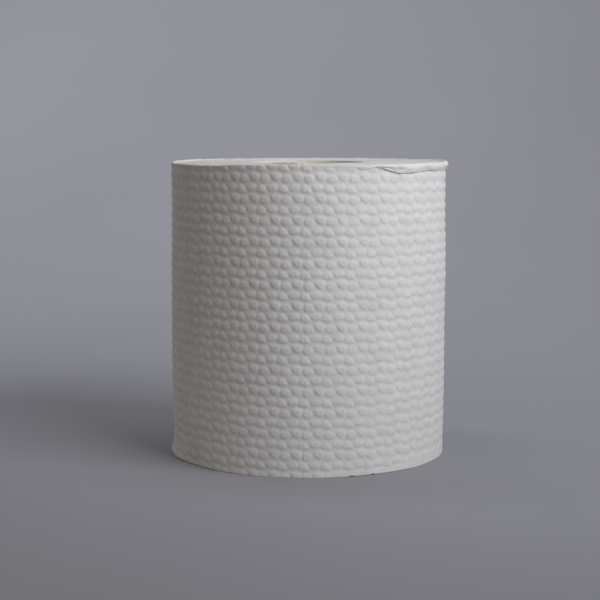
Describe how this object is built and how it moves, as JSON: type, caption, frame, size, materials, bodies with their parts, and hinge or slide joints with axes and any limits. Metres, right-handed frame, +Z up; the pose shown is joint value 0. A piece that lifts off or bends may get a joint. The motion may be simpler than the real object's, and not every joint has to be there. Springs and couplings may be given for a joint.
{
  "type": "toilet paper roll",
  "caption": "Full roll of embossed toilet paper on a paperboard core, open right through, standing on its flat end.",
  "frame": {"origin": "centre of the bottom end, on the core's axis", "axes": "+Z up the core's axis to the top end, -Y towards the front with the upright perforation, +X to the right of the front"},
  "size_m": [0.0992, 0.0983, 0.105],
  "materials": {
    "embossed_paper": "soft matt tissue",
    "core_board": "matt grey-brown board"
  },
  "bodies": {
    "root": {"paper_roll": "embossed_paper", "core_tube": "core_board"}
  },
  "joints": []
}
